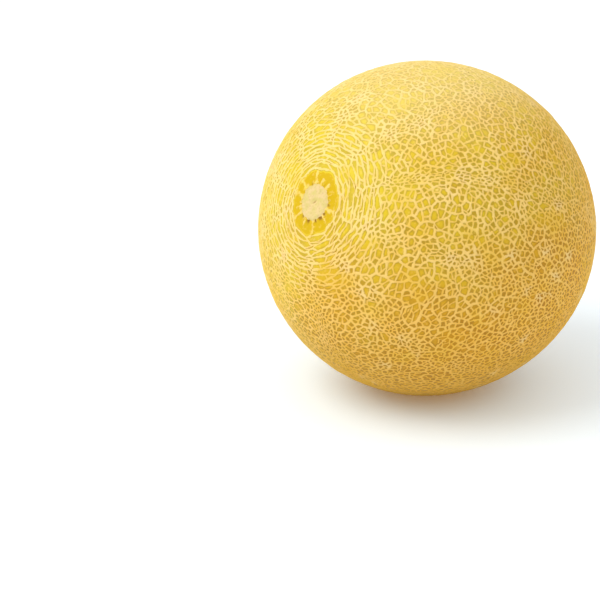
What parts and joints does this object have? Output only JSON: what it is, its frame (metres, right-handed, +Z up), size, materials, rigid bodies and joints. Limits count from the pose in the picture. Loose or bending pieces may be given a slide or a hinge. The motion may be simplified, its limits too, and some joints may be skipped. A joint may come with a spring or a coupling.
{
  "type": "galia melon",
  "caption": "Whole ripe galia melon lying on its side: nearly round golden rind under a raised cream cork net, with a round stalk scar at one end.",
  "frame": {"origin": "on the surface that the melon rests on, under the middle of the fruit", "axes": "+Z up; the stalk end looks towards -Y and 23 degrees upwards, the blossom end towards +Y; +X to the right when the stalk end is seen from the front"},
  "size_m": [0.147, 0.1508, 0.1458],
  "materials": {
    "rind": "golden yellow skin with a satin sheen under a dull, cream, corky raised net"
  },
  "bodies": {
    "root": {"melon": "rind"}
  },
  "joints": []
}
